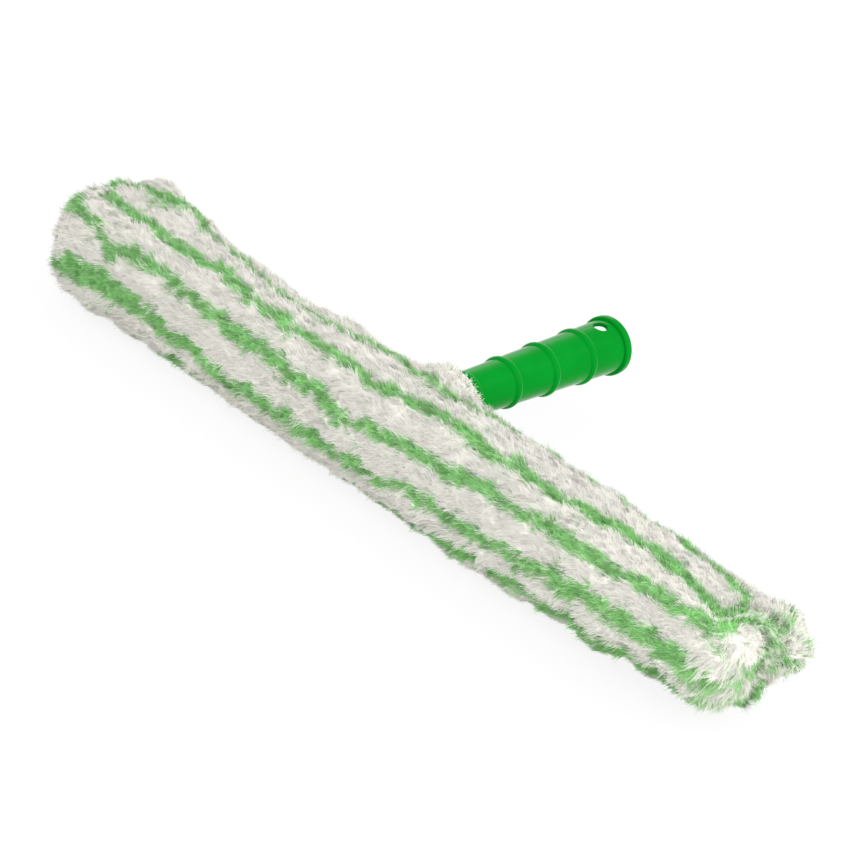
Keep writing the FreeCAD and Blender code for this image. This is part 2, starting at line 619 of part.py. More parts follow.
for item in doc.Objects:
    if "Invalid" in item.State or "Error" in item.State:
        raise RuntimeError(f"{item.Label} did not build: {item.State}")
for piece in pieces:
    if piece.Shape.isNull() or not piece.Shape.isValid():
        raise RuntimeError(f"{piece.Label} has no sound shape")
os.makedirs("parts", exist_ok=True)
for piece in pieces:
    piece.Shape.exportStep(f"parts/{piece.Label}.step")
    box = piece.Shape.BoundBox
    print(f"{piece.Label}: {len(piece.Shape.Solids)} solids, {piece.Shape.Volume:.1f} mm3, "
          f"{box.XLength:.1f} x {box.YLength:.1f} x {box.ZLength:.1f}")
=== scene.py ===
import math
import bmesh
import bpy
import numpy as np
from mathutils import Matrix, Vector, kdtree


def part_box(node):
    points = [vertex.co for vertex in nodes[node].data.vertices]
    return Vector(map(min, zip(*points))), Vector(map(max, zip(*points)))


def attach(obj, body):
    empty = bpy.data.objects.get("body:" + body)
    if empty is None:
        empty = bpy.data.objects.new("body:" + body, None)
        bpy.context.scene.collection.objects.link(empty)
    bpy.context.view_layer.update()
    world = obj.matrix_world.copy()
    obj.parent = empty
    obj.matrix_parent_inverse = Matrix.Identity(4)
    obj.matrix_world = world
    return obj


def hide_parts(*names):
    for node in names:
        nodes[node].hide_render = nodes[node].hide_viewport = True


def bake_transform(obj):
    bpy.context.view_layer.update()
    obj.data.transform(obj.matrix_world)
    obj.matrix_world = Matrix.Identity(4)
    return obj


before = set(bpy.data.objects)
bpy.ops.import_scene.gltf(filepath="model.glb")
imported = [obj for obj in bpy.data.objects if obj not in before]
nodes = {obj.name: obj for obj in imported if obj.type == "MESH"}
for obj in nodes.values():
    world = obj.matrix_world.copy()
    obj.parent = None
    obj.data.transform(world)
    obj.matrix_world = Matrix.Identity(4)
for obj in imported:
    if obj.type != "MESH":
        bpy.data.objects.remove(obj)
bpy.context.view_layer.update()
scene = bpy.context.scene
scene.view_settings.view_transform = "Standard"
print("frame loaded,", len(nodes), "nodes")

class Settings:
    def __init__(self, **values):
        for name, value in values.items():
            setattr(self, name, value)

class Wire:  # a socket in a node tree, or the bare tree
    def __init__(self, tree, socket=None):
        self.tree, self.socket = tree, socket

    def make(self, kind, settings=None, sockets=None, out=0):
        node = self.tree.nodes.new("ShaderNode" + kind)
        for name, value in (settings or {}).items():
            setattr(node, name, value)
        for name, value in (sockets or {}).items():
            if isinstance(value, Wire):
                self.tree.links.new(value.socket, node.inputs[name])
            else:
                node.inputs[name].default_value = value
        return Wire(self.tree, node.outputs[out] if len(node.outputs) else None)

    def maths(self, operation, first, second):
        return self.make("Math", {"operation": operation}, {0: first, 1: second})

    def __add__(self, other): return self.maths("ADD", self, other)
    def __radd__(self, other): return self.maths("ADD", other, self)
    def __sub__(self, other): return self.maths("SUBTRACT", self, other)
    def __rsub__(self, other): return self.maths("SUBTRACT", other, self)
    def __mul__(self, other): return self.maths("MULTIPLY", self, other)
    def __rmul__(self, other): return self.maths("MULTIPLY", other, self)

    def eased(self, low, high):
        return self.make("MapRange", {"interpolation_type": "SMOOTHSTEP"},
                         {"Value": self, "From Min": low, "From Max": high})

    def tint(self, start, end):  # a colour from start to end
        start, end = (c if isinstance(c, Wire) else (*c, 1) for c in (start, end))
        return self.make("Mix", {"data_type": "RGBA"}, {0: self, 6: start, 7: end}, out=2)

    def noise(self, scale, detail):  # read at the place that this socket gives
        return self.make("TexNoise", None, {"Vector": self, "Scale": scale, "Detail": detail})

    def bumped(self, strength, distance):
        return self.make("Bump", None, {"Strength": strength, "Distance": distance, "Height": self})

    def attribute(self, name):
        return self.make("Attribute", {"attribute_name": name}, out="Fac")

def newMaterial(name):
    material = bpy.data.materials.new(name)
    material.use_nodes = True
    material.node_tree.nodes.clear()
    return material, Wire(material.node_tree)

def finished(material, net, sockets):
    net.make("OutputMaterial", None, {"Surface": net.make("BsdfPrincipled", None, sockets)})
    return material

def linked(name, data):
    piece = bpy.data.objects.new(name, data)
    scene.collection.objects.link(piece)
    return piece

def wear(mesh, material):
    mesh.materials.clear()
    mesh.materials.append(material)

# camera at the photograph's place

photoView = {
    "place": (0.77987, -0.98571, 0.73702),
    "right": (0.70704, 0.68053, 0.19228),
    "upward": (-0.46520, 0.24281, 0.85125),
    "lens": 127.87,
    "sensor": 36.0,
    "nearest": 0.05,
    "farthest": 30.0,
}

def makeCamera():
    data = bpy.data.cameras.new("photoCamera")
    data.lens, data.sensor_width = photoView["lens"], photoView["sensor"]
    data.clip_start, data.clip_end = photoView["nearest"], photoView["farthest"]
    camera = linked("photoCamera", data)
    right, upward = (Vector(photoView[way]).normalized() for way in ("right", "upward"))
    turn = Matrix((right, upward, right.cross(upward))).transposed().to_4x4()
    camera.matrix_world = Matrix.Translation(photoView["place"]) @ turn
    scene.camera = camera

makeCamera()

# pale floor and soft light

studio = Settings(
    white=(1, 1, 1, 1),
    ambient=0.95,
    floorSize=9.0,
    floorLevel=-0.0004,
    floorColour=(0.86, 0.86, 0.86),
    shadowShare=0.14,  # how much of the floor's own shading the camera sees
    lamps=(  # place, aimed at, size, watts
        ((1.25, -1.15, 0.9), (0.05, 0.0, 0.03), 1.2, 13.0),
        ((-0.9, -0.7, 1.5), (0.0, 0.0, 0.03), 1.2, 4.5),
        ((0.9, 0.9, 1.3), (0.0, 0.05, 0.03), 1.0, 8.0),
        ((-1.1, 0.95, 0.9), (0.0, 0.1, 0.03), 1.2, 5.0),
        ((-0.1, -1.6, 0.22), (0.0, -0.03, 0.02), 1.4, 4.0),
        ((1.3, 0.55, 0.5), (0.22, 0.02, 0.03), 0.8, 5.5),
    ),
)

def seenRays(net):  # camera, mirror and glass rays meet plain white
    path = "LightPath"
    seen = net.make(path, out="Is Camera Ray") + net.make(path, out="Is Glossy Ray")
    return net.make("Math", {"operation": "ADD", "use_clamp": True},
                    {0: seen, 1: net.make(path, out="Is Transmission Ray")})

def makeWorld():
    world = bpy.data.worlds.new("studioWorld")
    scene.world = world
    world.use_nodes = True
    world.node_tree.nodes.clear()
    net = Wire(world.node_tree)
    soft, plain = (net.make("Background", None, {"Color": studio.white, "Strength": strength})
                   for strength in (studio.ambient, 1.0))
    both = net.make("MixShader", None, {0: seenRays(net), 1: soft, 2: plain})
    net.make("OutputWorld", None, {"Surface": both})

def makeFloor():
    half, level = studio.floorSize / 2, studio.floorLevel
    mesh = bpy.data.meshes.new("paleFloor")
    mesh.from_pydata([(x * half, y * half, level) for x, y in ((-1, -1), (1, -1), (1, 1), (-1, 1))],
                     [], [(0, 1, 2, 3)])
    floor = linked("paleFloor", mesh)
    material, net = newMaterial("paleFloor")
    matt = net.make("BsdfDiffuse", None, {"Color": (*studio.floorColour, 1)})
    plain = net.make("Emission", None, {"Color": studio.white, "Strength": 1.0})
    share = seenRays(net) * (1 - studio.shadowShare)
    both = net.make("MixShader", None, {0: share, 1: matt, 2: plain})
    net.make("OutputMaterial", None, {"Surface": both})
    mesh.materials.append(material)

def hangLamps():
    for number, (place, aim, size, watts) in enumerate(studio.lamps):
        lamp = bpy.data.lights.new(f"softbox{number}", "AREA")
        lamp.shape, lamp.size, lamp.energy = "DISK", size, watts
        holder = linked(f"softbox{number}", lamp)
        holder.location = place
        holder.rotation_mode = "QUATERNION"
        holder.rotation_quaternion = (Vector(aim) - Vector(place)).to_track_quat("-Z", "Y")

makeWorld()
makeFloor()
hangLamps()
print("camera, floor and lamps made")

# moulded green plastic of the T-bar

plastic = Settings(
    colour=(0.0, 0.235, 0.0175), deep=(0.0, 0.21, 0.0145), cloudScale=38.0,
    roughness=0.3, scuffing=0.09, scuffScale=260.0, gloss=0.02,
    edgeGloss=0.75, edgeRoughness=0.12,  # of the skin where it is seen at a slant
    grainScale=1500.0, grain=0.12, grainDepth=0.0002,
)

def makePlastic():
    material, net = newMaterial("greenPlastic")
    place = net.make("TexCoord", out="Object")
    cloud = place.noise(plastic.cloudScale, 3.0)
    grain = place.noise(plastic.grainScale, 2.0)
    scuff = place.noise(plastic.scuffScale, 4.0)
    slant = net.make("LayerWeight", None, {"Blend": 0.5}, out="Facing")
    return finished(material, net, {
        "Base Color": cloud.eased(0.3, 0.7).tint(plastic.deep, plastic.colour),
        "Roughness": plastic.roughness + scuff.eased(0.5, 0.8) * plastic.scuffing,
        "Normal": grain.bumped(plastic.grain, plastic.grainDepth),
        "Coat Weight": slant.eased(0.45, 0.95) * plastic.edgeGloss,
        "Coat Roughness": plastic.edgeRoughness,
        "Specular IOR Level": plastic.gloss,
    })

greenPlastic = makePlastic()
for name in ("handle", "crossbar", "left_end_plug", "right_end_plug"):
    wear(nodes[name].data, greenPlastic)
print("plastic dressed")

# striped pile of the sleeve and its end flap, worked out in millimetres

pile = {
    "halfDepth": 33.8, "top": 57.6, "topCorner": 26.0, "lowCorner": 22.0, "cornerSteps": 40,
    "middle": 30.0, "axis": 31.8,  # heights of the section's middle and of the bar
    "stripes": (  # places along the bar, round the section from its front, and the width there
        ((-226, -15, 6), (-213, -12, 8.5), (-200, -7, 12), (-170, -3, 12), (-130, -6, 9),
         (-95, -10, 6.5), (-60, -9, 6), (-20, -10, 7), (10, -11, 6), (45, -4.5, 6), (80, -3.5, 7),
         (110, -2, 7), (140, 1.5, 8), (165, 3, 9), (200, 3.5, 10), (216, 2, 9), (227, 0, 5)),
        ((-205, 24, 7), (-188, 22, 7), (-174, 15, 10), (-160, 20.5, 7), (-130, 20, 7), (-90, 16, 8),
         (-50, 14.5, 8), (-20, 13, 8), (0, 9, 6.5), (25, 14.5, 7), (70, 17, 7), (115, 19.5, 7),
         (160, 21, 8), (190, 23.5, 8), (212, 24, 7), (224, 24, 5)),
        ((-210, 44, 6), (-180, 42, 7.5), (-140, 42, 8.5), (-110, 41, 8), (-90, 36, 7.5),
         (-60, 35, 7.5), (-20, 38, 8), (0, 36, 8), (30, 41, 8.5), (70, 38.5, 9), (115, 41.5, 8.5),
         (140, 47.5, 9), (170, 51, 8), (200, 38, 8), (214, 34, 6), (222, 34, 2)),
        ((-210, 66, 8), (-185, 63, 7), (-150, 65, 6), (-100, 60, 4.5), (-55, 57, 4), (-35, 61, 8),
         (-15, 66, 8), (0, 62, 6), (25, 60, 7), (45, 68, 6), (70, 77, 7), (150, 79, 7),
         (185, 70, 6), (215, 60, 6)),
        ((-210, -42, 7), (-135, -34, 7), (-118, -22, 6), (-100, -32, 7), (-60, -38, 7), (0, -34, 7),
         (40, -27, 7), (70, -21, 7), (120, -19, 7), (190, -17, 7)),
        ((-210, -54, 8), (215, -42, 8)),
        ((-210, -73, 8), (215, -65, 8)),
        ((-210, -93, 8), (215, -88, 8)),
        ((-210, 102, 8), (150, 102, 8), (215, 99, 3)),
        ((-210, 84, 8), (-40, 85, 8), (-22, 85, 0), (22, 86, 0), (40, 87, 8), (150, 88, 8),
         (215, 84, 3)),
    ),
    "row": 5.6, "rowShift": 1.1, "rows": 200,  # a stripe keeps its place in a row, then jumps
    "waver": 0.6, "rowWaver": 0.4, "fullness": 1.12, "unevenness": 0.16,
    "ends": (206, 222), "flapTurn": (-6, 8),  # where the stripes go over to the end faces
    "runOut": 8, "runOutDepth": (4, 16), "runOutHeight": (38, 46),
    "downward": -0.6,  # a face that looks down more than this lies on the floor
    "fibreReach": 2.1,  # outside of the pile to its felted core
    # fibres are darker at the root than at the tip: painted shade deep in the pile
    "whiteTip": (0.95, 0.93, 0.865), "whiteRoot": (0.92, 0.89, 0.81), "whiteShade": 0.1,
    "greenTip": (0.44, 0.83, 0.345), "greenRoot": (0.15, 0.56, 0.11), "greenShade": 0.42,
    "felt": 0.88,  # brightness of the core beside the fibres, darkened as painted shade under them
    "glow": 0.2,  # share of the light that goes through a fibre
    "tones": 8,  # steps of stripe colour, and of light and dark
}

def wander(points, wavelength, seed, waves=24):  # smooth noise, mostly within one either way
    rng = np.random.default_rng(seed)
    way = rng.normal(size=(waves, 3))
    way /= np.linalg.norm(way, axis=1)[:, None] * wavelength * rng.uniform(0.7, 1.4, waves)[:, None]
    phase = rng.uniform(0, 2 * math.pi, waves)
    return np.sin(points @ way.T * 2 * math.pi + phase).sum(1) / math.sqrt(waves)

def unit(vectors):
    return vectors / np.maximum(np.linalg.norm(vectors, axis=1), 1e-9)[:, None]

def easedStep(values, low, high):
    t = np.clip((values - low) / (high - low), 0, 1)
    return t * t * (3 - 2 * t)

def hump(values, middle, width):
    return np.exp(-((values - middle) / width) ** 2)

def sectionLoop():  # the pile's outline: angle about its middle, length round from the front
    corners = []
    side, top = pile["halfDepth"], pile["top"]
    upper, lower = pile["topCorner"], pile["lowCorner"]
    for centre, height, radius, start in (
        (-side + upper, top - upper, upper, 180),
        (side - upper, top - upper, upper, 90),
        (side - lower, lower, lower, 0),
        (-side + lower, lower, lower, -90),
    ):
        for turn in np.radians(np.linspace(start, start - 90, pile["cornerSteps"])):
            corners.append((centre + radius * math.cos(turn), height + radius * math.sin(turn)))
    corners = np.array(corners + corners[:1])
    length = np.r_[0, np.cumsum(np.hypot(*np.diff(corners, axis=0).T))]
    angle = np.unwrap(np.arctan2(corners[:, 1] - pile["middle"], -corners[:, 0]))
    return angle, length - np.interp(0, angle, length)

loopAngle, loopLength = sectionLoop()
wholeLoop = loopLength[-1] - loopLength[0]

def wrapped(around):
    return (around + wholeLoop / 2) % wholeLoop - wholeLoop / 2

def endShare(points):
    return easedStep(np.abs(points[:, 0]), *pile["ends"])

def aroundSection(points, onFlap):
    angle = np.arctan2(points[:, 2] - pile["middle"], -points[:, 1])
    angle = np.where(angle < loopAngle[0], angle + 2 * math.pi, angle)
    angle = np.where(angle > loopAngle[-1], angle - 2 * math.pi, angle)
    around = wrapped(np.interp(angle, loopAngle, loopLength))
    share, level = endShare(points), points[:, 2] - pile["middle"]
    if onFlap:  # the flap is the front's cloth carried round the end
        share = np.maximum(share, easedStep(points[:, 1], *pile["flapTurn"]))
    else:
        level = np.where(points[:, 1] < 0, level, wholeLoop / 2 - level)
    return wrapped(around + share * wrapped(level - around))

def insideStripe(points, stray, onFlap):  # how far inside the nearest stripe, negative outside it
    around = aroundSection(points, onFlap) + stray + pile["waver"] * wander(points, 12.0, 6)
    fuller = pile["fullness"] + pile["unevenness"] * wander(points, 28.0, 7)
    along = points[:, 0] + points[:, 1] * endShare(points)
    row = np.floor(along / pile["row"] + pile["rowWaver"] * wander(points, 17.0, 8)).astype(int)
    jumps = (pile["rows"], len(pile["stripes"]))
    jumps = np.random.default_rng(31).normal(0, pile["rowShift"], jumps)
    inside = np.full(len(points), -50.0)
    for number, line in enumerate(pile["stripes"]):
        places, middles, widths = zip(*line)
        middle = np.interp(points[:, 0], places, middles) + jumps[row % pile["rows"], number]
        width = np.interp(points[:, 0], places, widths) * fuller
        inside = np.maximum(inside, width / 2 - np.abs(wrapped(around - middle)))
    if onFlap:  # the stripe runs out before the flap's free corner
        corner = pile["runOut"] * easedStep(points[:, 1], *pile["runOutDepth"])
        inside = inside - corner * easedStep(points[:, 2], *pile["runOutHeight"])
    return inside

woven = Settings(  # the backing under the pile: a rounded box, its flats, and the neck's tube
    half=(217.7, 17.8, 12.8), corner=7.8, flat=(0, 10.0, 5.0),
    neckRadius=13.5, neckFrom=24,
)

def boxDistance(points, half, corner):
    away = np.abs(points) - np.array(half) + corner
    return np.linalg.norm(np.maximum(away, 0), axis=1) + np.minimum(away.max(1), 0) - corner

def pileDepth(points):  # distance out from the woven backing
    head = boxDistance(points - np.array((0, 0, pile["axis"])), woven.half, woven.corner)
    neck = np.hypot(points[:, 0], points[:, 2] - pile["axis"]) - woven.neckRadius
    return np.where(points[:, 1] > woven.neckFrom, np.minimum(head, np.maximum(neck, 0)), head)

def outerShare(deep):  # none at the backing, all of it near the pile's outside
    return np.clip((deep - 2) / 7, 0, 1)

slump = Settings(  # how the soft pile stands off its drawn outline, and between which places
    leftPlace=(202, 233), leftIn=7.0, leftFrontIn=3.5, leftDepth=34,
    leftNarrow=0.12, leftTop=-0.03, leftLow=0.44,  # shares of the end's size
    backPlace=(196, 230), backDepth=(0, 16), backLobe=10.0, lobeHeight=(10, 34),
    backLift=9.0, liftHeight=(12, 36),
    creaseFill=5.0, creasePlace=(214, 219), creaseWidth=5,
    dip=4.0, dipPlace=-90, dipLength=24, dipRise=(8, 26), dipDepth=(-10, 20),
    cornerAngle=52, cornerBack=0.6, cornerUp=0.8,
    ear=8.0, earStart=(-228, -192), earEnd=(-188, -166), earDepth=(23.3, 27),
    bulge=8.0, bulgePlace=-176, bulgeLength=24, bulgeDepth=(0, 14),
)

def slumped(points, onFlap):
    x, y, z = points.T.copy()
    outer = outerShare(pileDepth(points))
    rise = z - pile["axis"]
    left = easedStep(-x, *slump.leftPlace) * outer
    frontIn = slump.leftFrontIn * np.clip(-y / slump.leftDepth, 0, 1)
    newX = x + left * (slump.leftIn + frontIn)
    newY = y * (1 - slump.leftNarrow * left)
    newZ = z - rise * np.where(rise > 0, slump.leftTop, slump.leftLow) * left
    behind = easedStep(x, *slump.backPlace) * easedStep(y, *slump.backDepth) * outer
    newX += slump.backLobe * behind * easedStep(z, *slump.lobeHeight)
    newZ += slump.backLift * behind * (1 - easedStep(z, *slump.liftHeight))
    crease = slump.creaseFill * easedStep(x, *slump.creasePlace)
    newX += crease * hump(y, 0, slump.creaseWidth)
    dip = slump.dip * hump(x, slump.dipPlace, slump.dipLength)
    newZ -= dip * easedStep(rise, *slump.dipRise) * easedStep(y, *slump.dipDepth) * outer
    slant = np.arctan2(z - pile["middle"], y) - math.radians(slump.cornerAngle)
    corner = np.clip(np.cos(slant), 0, 1) ** 3
    if onFlap:  # the closed flap's free corner stands up behind
        ear = slump.ear * easedStep(x, *slump.earStart) * (1 - easedStep(x, *slump.earEnd))
        ear = ear * corner * easedStep(y, *slump.earDepth)
    else:
        ear = slump.bulge * hump(x, slump.bulgePlace, slump.bulgeLength)
        ear = ear * corner * outer * easedStep(y, *slump.bulgeDepth)
    newY, newZ = newY + slump.cornerBack * ear, newZ + slump.cornerUp * ear
    return np.stack([newX, newY, newZ], 1)

def vertexArrays(mesh):
    count = len(mesh.vertices)
    points, normals = np.empty(count * 3, np.float32), np.empty(count * 3, np.float32)
    mesh.vertices.foreach_get("co", points)
    mesh.vertices.foreach_get("normal", normals)
    return points.reshape(-1, 3).astype(float) * 1000, normals.reshape(-1, 3).astype(float)

def setPlaces(mesh, points):
    mesh.vertices.foreach_set("co", (points / 1000).astype(np.float32).ravel())

def setValues(mesh, label, values):
    attribute = mesh.attributes.new(label, "FLOAT", "POINT")
    attribute.data.foreach_set("value", values.astype(np.float32))

def welded(mesh):  # open for edits, with the faces joined
    shape = bmesh.new()
    shape.from_mesh(mesh)
    bmesh.ops.remove_doubles(shape, verts=shape.verts, dist=1e-6)
    return shape

def putBack(shape, mesh):
    shape.to_mesh(mesh)
    shape.free()

core = Settings(  # felt under the fibres
    voxel=1.7, lowest=0.6, stripeEdge=1.6,
    drawMore=0.4, drawShare=0.36, drawUnder=0.6,
    creaseWidth=8, creasePlace=(205, 216), creaseHold=0.9,
    thinHold=0.9, thinHeight=(40, 46), thinDepth=(18, 21),
    mouth=-216, mouthReach=4, mouthFacing=0.6, mouthDeep=6,
    mouthFlap=-1.6, mouthSleeve=-0.8,
    lump=1.7, lumpLevel=0.7, lumpLength=38.0, knob=0.3, knobLength=11.0,
    pinch=4.6, pinchPlace=-10, pinchLength=15,  # drawn in at the foot of the neck
    pinchAround=40, pinchSlant=0.45, pinchWidth=4,
)

def remeshed(node, name):
    mesh = nodes[node].data.copy()
    putBack(welded(mesh), mesh)
    piece = linked(name, mesh)
    remesh = piece.modifiers.new("remesh", "REMESH")
    remesh.mode, remesh.voxel_size, remesh.use_smooth_shade = "VOXEL", core.voxel / 1000, True
    shaped = piece.evaluated_get(bpy.context.evaluated_depsgraph_get())
    done = bpy.data.meshes.new_from_object(shaped)
    piece.modifiers.clear()
    piece.data = done
    done.name = name
    return piece

def pileCore(node, name, onFlap):  # the CAD pile remeshed, drawn in and made lumpy
    piece = remeshed(node, name)
    rest, normals = vertexArrays(piece.data)
    x, y, z = rest.T
    deep = pileDepth(rest)
    outer = outerShare(deep)
    crease = hump(y, 0, core.creaseWidth) * easedStep(x, *core.creasePlace)
    draw = core.drawShare * np.maximum(deep, 0)
    draw = np.minimum(pile["fibreReach"] + core.drawMore, draw)
    draw = draw * outer * (1 - core.creaseHold * crease)
    draw = draw * np.where(normals[:, 2] < pile["downward"], core.drawUnder, 1.0)
    if onFlap:  # its free corner is too thin to be drawn in from both sides
        thin = core.thinHold * easedStep(z, *core.thinHeight) * easedStep(y, *core.thinDepth)
        draw = draw * (1 - thin)
    mouth = (np.abs(x - core.mouth) < core.mouthReach) & ((normals[:, 0] > 0) == onFlap)
    mouth = mouth & (np.abs(normals[:, 0]) > core.mouthFacing)
    meet = core.mouthFlap if onFlap else core.mouthSleeve
    draw[mouth] = np.where(deep[mouth] > core.mouthDeep, meet, 0)  # sleeve and flap still meet
    lumps = core.lump * (np.abs(wander(rest, core.lumpLength, 1)) - core.lumpLevel)
    lumps = lumps + core.knob * wander(rest, core.knobLength, 2)
    along = x - core.pinchPlace
    pinch = aroundSection(rest, onFlap) - core.pinchAround + core.pinchSlant * along
    pinch = np.exp(-(along / core.pinchLength) ** 2 - (pinch / core.pinchWidth) ** 2)
    lumps = lumps - core.pinch * pinch
    points = slumped(rest + normals * (lumps * outer * (1 - crease) - draw)[:, None], onFlap)
    points[:, 2] = np.maximum(points[:, 2], core.lowest)
    setPlaces(piece.data, points)
    piece.data.update()
    green = np.clip(0.5 + insideStripe(rest, 0, onFlap) / core.stripeEdge, 0, 1)
    setValues(piece.data, "green", green)
    return piece, rest, deep, normals

def spread(mesh, points, weight, count, rng):  # corners and shares of places spread over the core
    mesh.calc_loop_triangles()
    faces = np.empty(len(mesh.loop_triangles) * 3, np.int32)
    mesh.loop_triangles.foreach_get("vertices", faces)
    faces = faces.reshape(-1, 3)
    a, b, c = (points[faces[:, k]] for k in range(3))
    area = np.linalg.norm(np.cross(b - a, c - a), axis=1) / 2 * weight[faces].min(1)
    reach = np.cumsum(area)
    marks = (np.arange(count) + rng.uniform(0, 1, count)) / count * reach[-1]
    picks = np.minimum(np.searchsorted(reach, marks), len(faces) - 1)
    u, v = rng.uniform(0, 1, (2, count))
    u, v = np.where(u + v > 1, 1 - u, u), np.where(u + v > 1, 1 - v, v)
    return faces[picks], np.stack([1 - u - v, u, v], 1)[:, :, None]

nap = Settings(  # which way the pile lies
    parting=224, partingLength=22, partingWaver=0.5,
    droopHeight=(-36, -12), droop=0.4, droopRight=0.7, droopPlace=(0, 90),
    forward=0.3, forwardWaver=0.3, outShare=-0.8, downShare=-0.6,
    endPlace=(204, 220), leftLater=12, topFacing=(0.4, 0.9), topHold=0.8,
    hearts=((0, 38), (12, 36), (-14, 52)),  # left end, back and front lobe: it lies out from these
    heartReach=11, endHold=0.7, endPull=1.1,
    creaseWidth=9, creasePlace=(208, 218), creaseWay=(1.0, 0, -0.2),
    neckPlace=(34, 40), neckWay=(0, 0.9, 0.0), weakest=0.3,
)

def pileLie(rest, facing):  # which way the pile lies, and how flat
    x, y, z = rest.T
    sweep = (x - nap.parting) / nap.partingLength + nap.partingWaver * wander(rest, 62.0, 11)
    droop = nap.droop + nap.droopRight * easedStep(x, *nap.droopPlace)
    droop = easedStep(-z, *nap.droopHeight) * droop
    forward = nap.forward + droop + nap.forwardWaver * wander(rest, 23.0, 12)
    flow = np.stack([np.tanh(sweep), nap.outShare * forward, nap.downShare * forward], 1)
    ends = easedStep(np.where(x > 0, x, -x - nap.leftLater), *nap.endPlace)
    ends = (ends * (1 - nap.topHold * easedStep(facing[:, 2], *nap.topFacing)))[:, None]
    heart = np.array(nap.hearts)[(x > 0) * np.where(y > 0, 1, 2)]
    outwards = np.stack([np.zeros(len(rest)), y - heart[:, 0], z - heart[:, 1]], 1)
    outwards /= np.maximum(np.linalg.norm(outwards, axis=1), nap.heartReach)[:, None]
    flow = flow * (1 - nap.endHold * ends) + ends * nap.endPull * outwards
    crease = (hump(y, 0, nap.creaseWidth) * easedStep(x, *nap.creasePlace))[:, None]
    neck = easedStep(y, *nap.neckPlace)[:, None]
    for share, way in ((crease, nap.creaseWay), (neck, nap.neckWay)):
        flow = flow * (1 - share) + share * np.array(way)
    flow = flow - facing * (flow * facing).sum(1)[:, None]
    strength = np.clip(np.linalg.norm(flow, axis=1), nap.weakest, 1)
    return unit(flow + 1e-6), strength

tuft = Settings(
    count=36000, quickShare=0.3, perClump=5,
    clumpTurn=0.32, turn=0.22, clumpSize=0.13, size=0.1,
    lobePlace=(208, 226), lobeLonger=0.6, mouthPlace=(203, 212), mouthLonger=0.35,
    reachShare=0.5, leastDepth=2.5, underHeight=0.4,
    standing=1.5, lying=0.5,  # height, and what of it a full lie takes away
    lobeRise=0.5, lobeDepth=(0, 10), lobeHeight=(12, 30),
    sweep=4.8, fullDepth=12, leastSweep=0.6, tipHeight=0.45, draw=0.15,
    clumpStray=0.7, stray=0.6,
    gatherWidth=6, gatherPlace=(208, 216), gatherHeight=(24, 34),
    gather=5, gatherLess=3, gatherWaver=1.5,  # green drawn into the sewn crease
    streak=1.8, streakMore=0.4,  # stripes run together at the gathered end
    # light of the tufts: random tone, with painted light over the end lobe
    light=0.58, lightSpread=0.2, lobePaintedLight=0.25,
    rowPaintedShade=0.4, rowStart=(0.7, 0.95),  # painted shade: each row is darkest where it starts
)

def growTufts(rest, place, facing, onFlap, rng):
    count, deep = len(place), pileDepth(rest)
    x, y, z = rest.T
    flow, strength = pileLie(rest, facing)
    centres = rng.choice(count, count // tuft.perClump, replace=False)
    clumps = len(centres)
    tree = kdtree.KDTree(clumps)
    for number, which in enumerate(centres):
        tree.insert(place[which], number)
    tree.balance()
    clump = np.array([tree.find(p)[1] for p in place])
    turn = rng.normal(0, tuft.clumpTurn, clumps)[clump] + rng.normal(0, tuft.turn, count)
    flow = flow * np.cos(turn)[:, None] + np.cross(facing, flow) * np.sin(turn)[:, None]
    lobe = easedStep(x, *tuft.lobePlace)
    longer = 1 + tuft.lobeLonger * lobe + tuft.mouthLonger * easedStep(-x, *tuft.mouthPlace)
    reach = tuft.reachShare * np.maximum(deep, tuft.leastDepth)
    reach = np.minimum(pile["fibreReach"], reach)
    size = rng.normal(1, tuft.clumpSize, clumps)[clump] * rng.normal(1, tuft.size, count)
    height = reach * size * np.where(facing[:, 2] < pile["downward"], tuft.underHeight, 1.0)
    height = height * (tuft.standing - tuft.lying * strength)
    raised = tuft.lobeRise * lobe * easedStep(y, *tuft.lobeDepth)
    height = height * (1 + raised * easedStep(z, *tuft.lobeHeight))
    sweep = tuft.sweep * np.clip(deep / tuft.fullDepth, tuft.leastSweep, 1)
    sweep = sweep * size * strength * longer
    tip = place + facing * (tuft.tipHeight * height)[:, None] + flow * sweep[:, None]
    heart = np.zeros((clumps, 3))  # the tips of a clump draw together
    np.add.at(heart, clump, tip)
    heart /= np.maximum(np.bincount(clump, minlength=clumps), 1)[:, None]
    tip = tip + tuft.draw * (heart[clump] - tip)
    stray = rng.normal(0, tuft.clumpStray, clumps)[clump] + rng.normal(0, tuft.stray, count)
    edge = insideStripe(rest, stray, onFlap)
    gather = hump(y, 0, tuft.gatherWidth) * easedStep(x, *tuft.gatherPlace)
    gather = tuft.gather * (gather * easedStep(z, *tuft.gatherHeight)) - tuft.gatherLess
    edge = np.maximum(edge, gather + tuft.gatherWaver * wander(rest, 14.0, 9))
    edge = edge + lobe * (tuft.streak * wander(rest, 9.0, 10) + tuft.streakMore)
    within = x / pile["row"] % 1
    light = tuft.light + tuft.lightSpread * rng.normal(0, 1, clumps)[clump]
    light = light + tuft.lightSpread * rng.normal(0, 1, count)
    # painted shade where each row starts, painted light on the end lobe
    light = light - tuft.rowPaintedShade * easedStep(within, *tuft.rowStart) + tuft.lobePaintedLight * lobe
    return {"place": place, "facing": facing, "flow": flow, "tip": tip, "height": height,
            "edge": edge, "light": np.clip(light, 0, 1), "lobe": lobe}

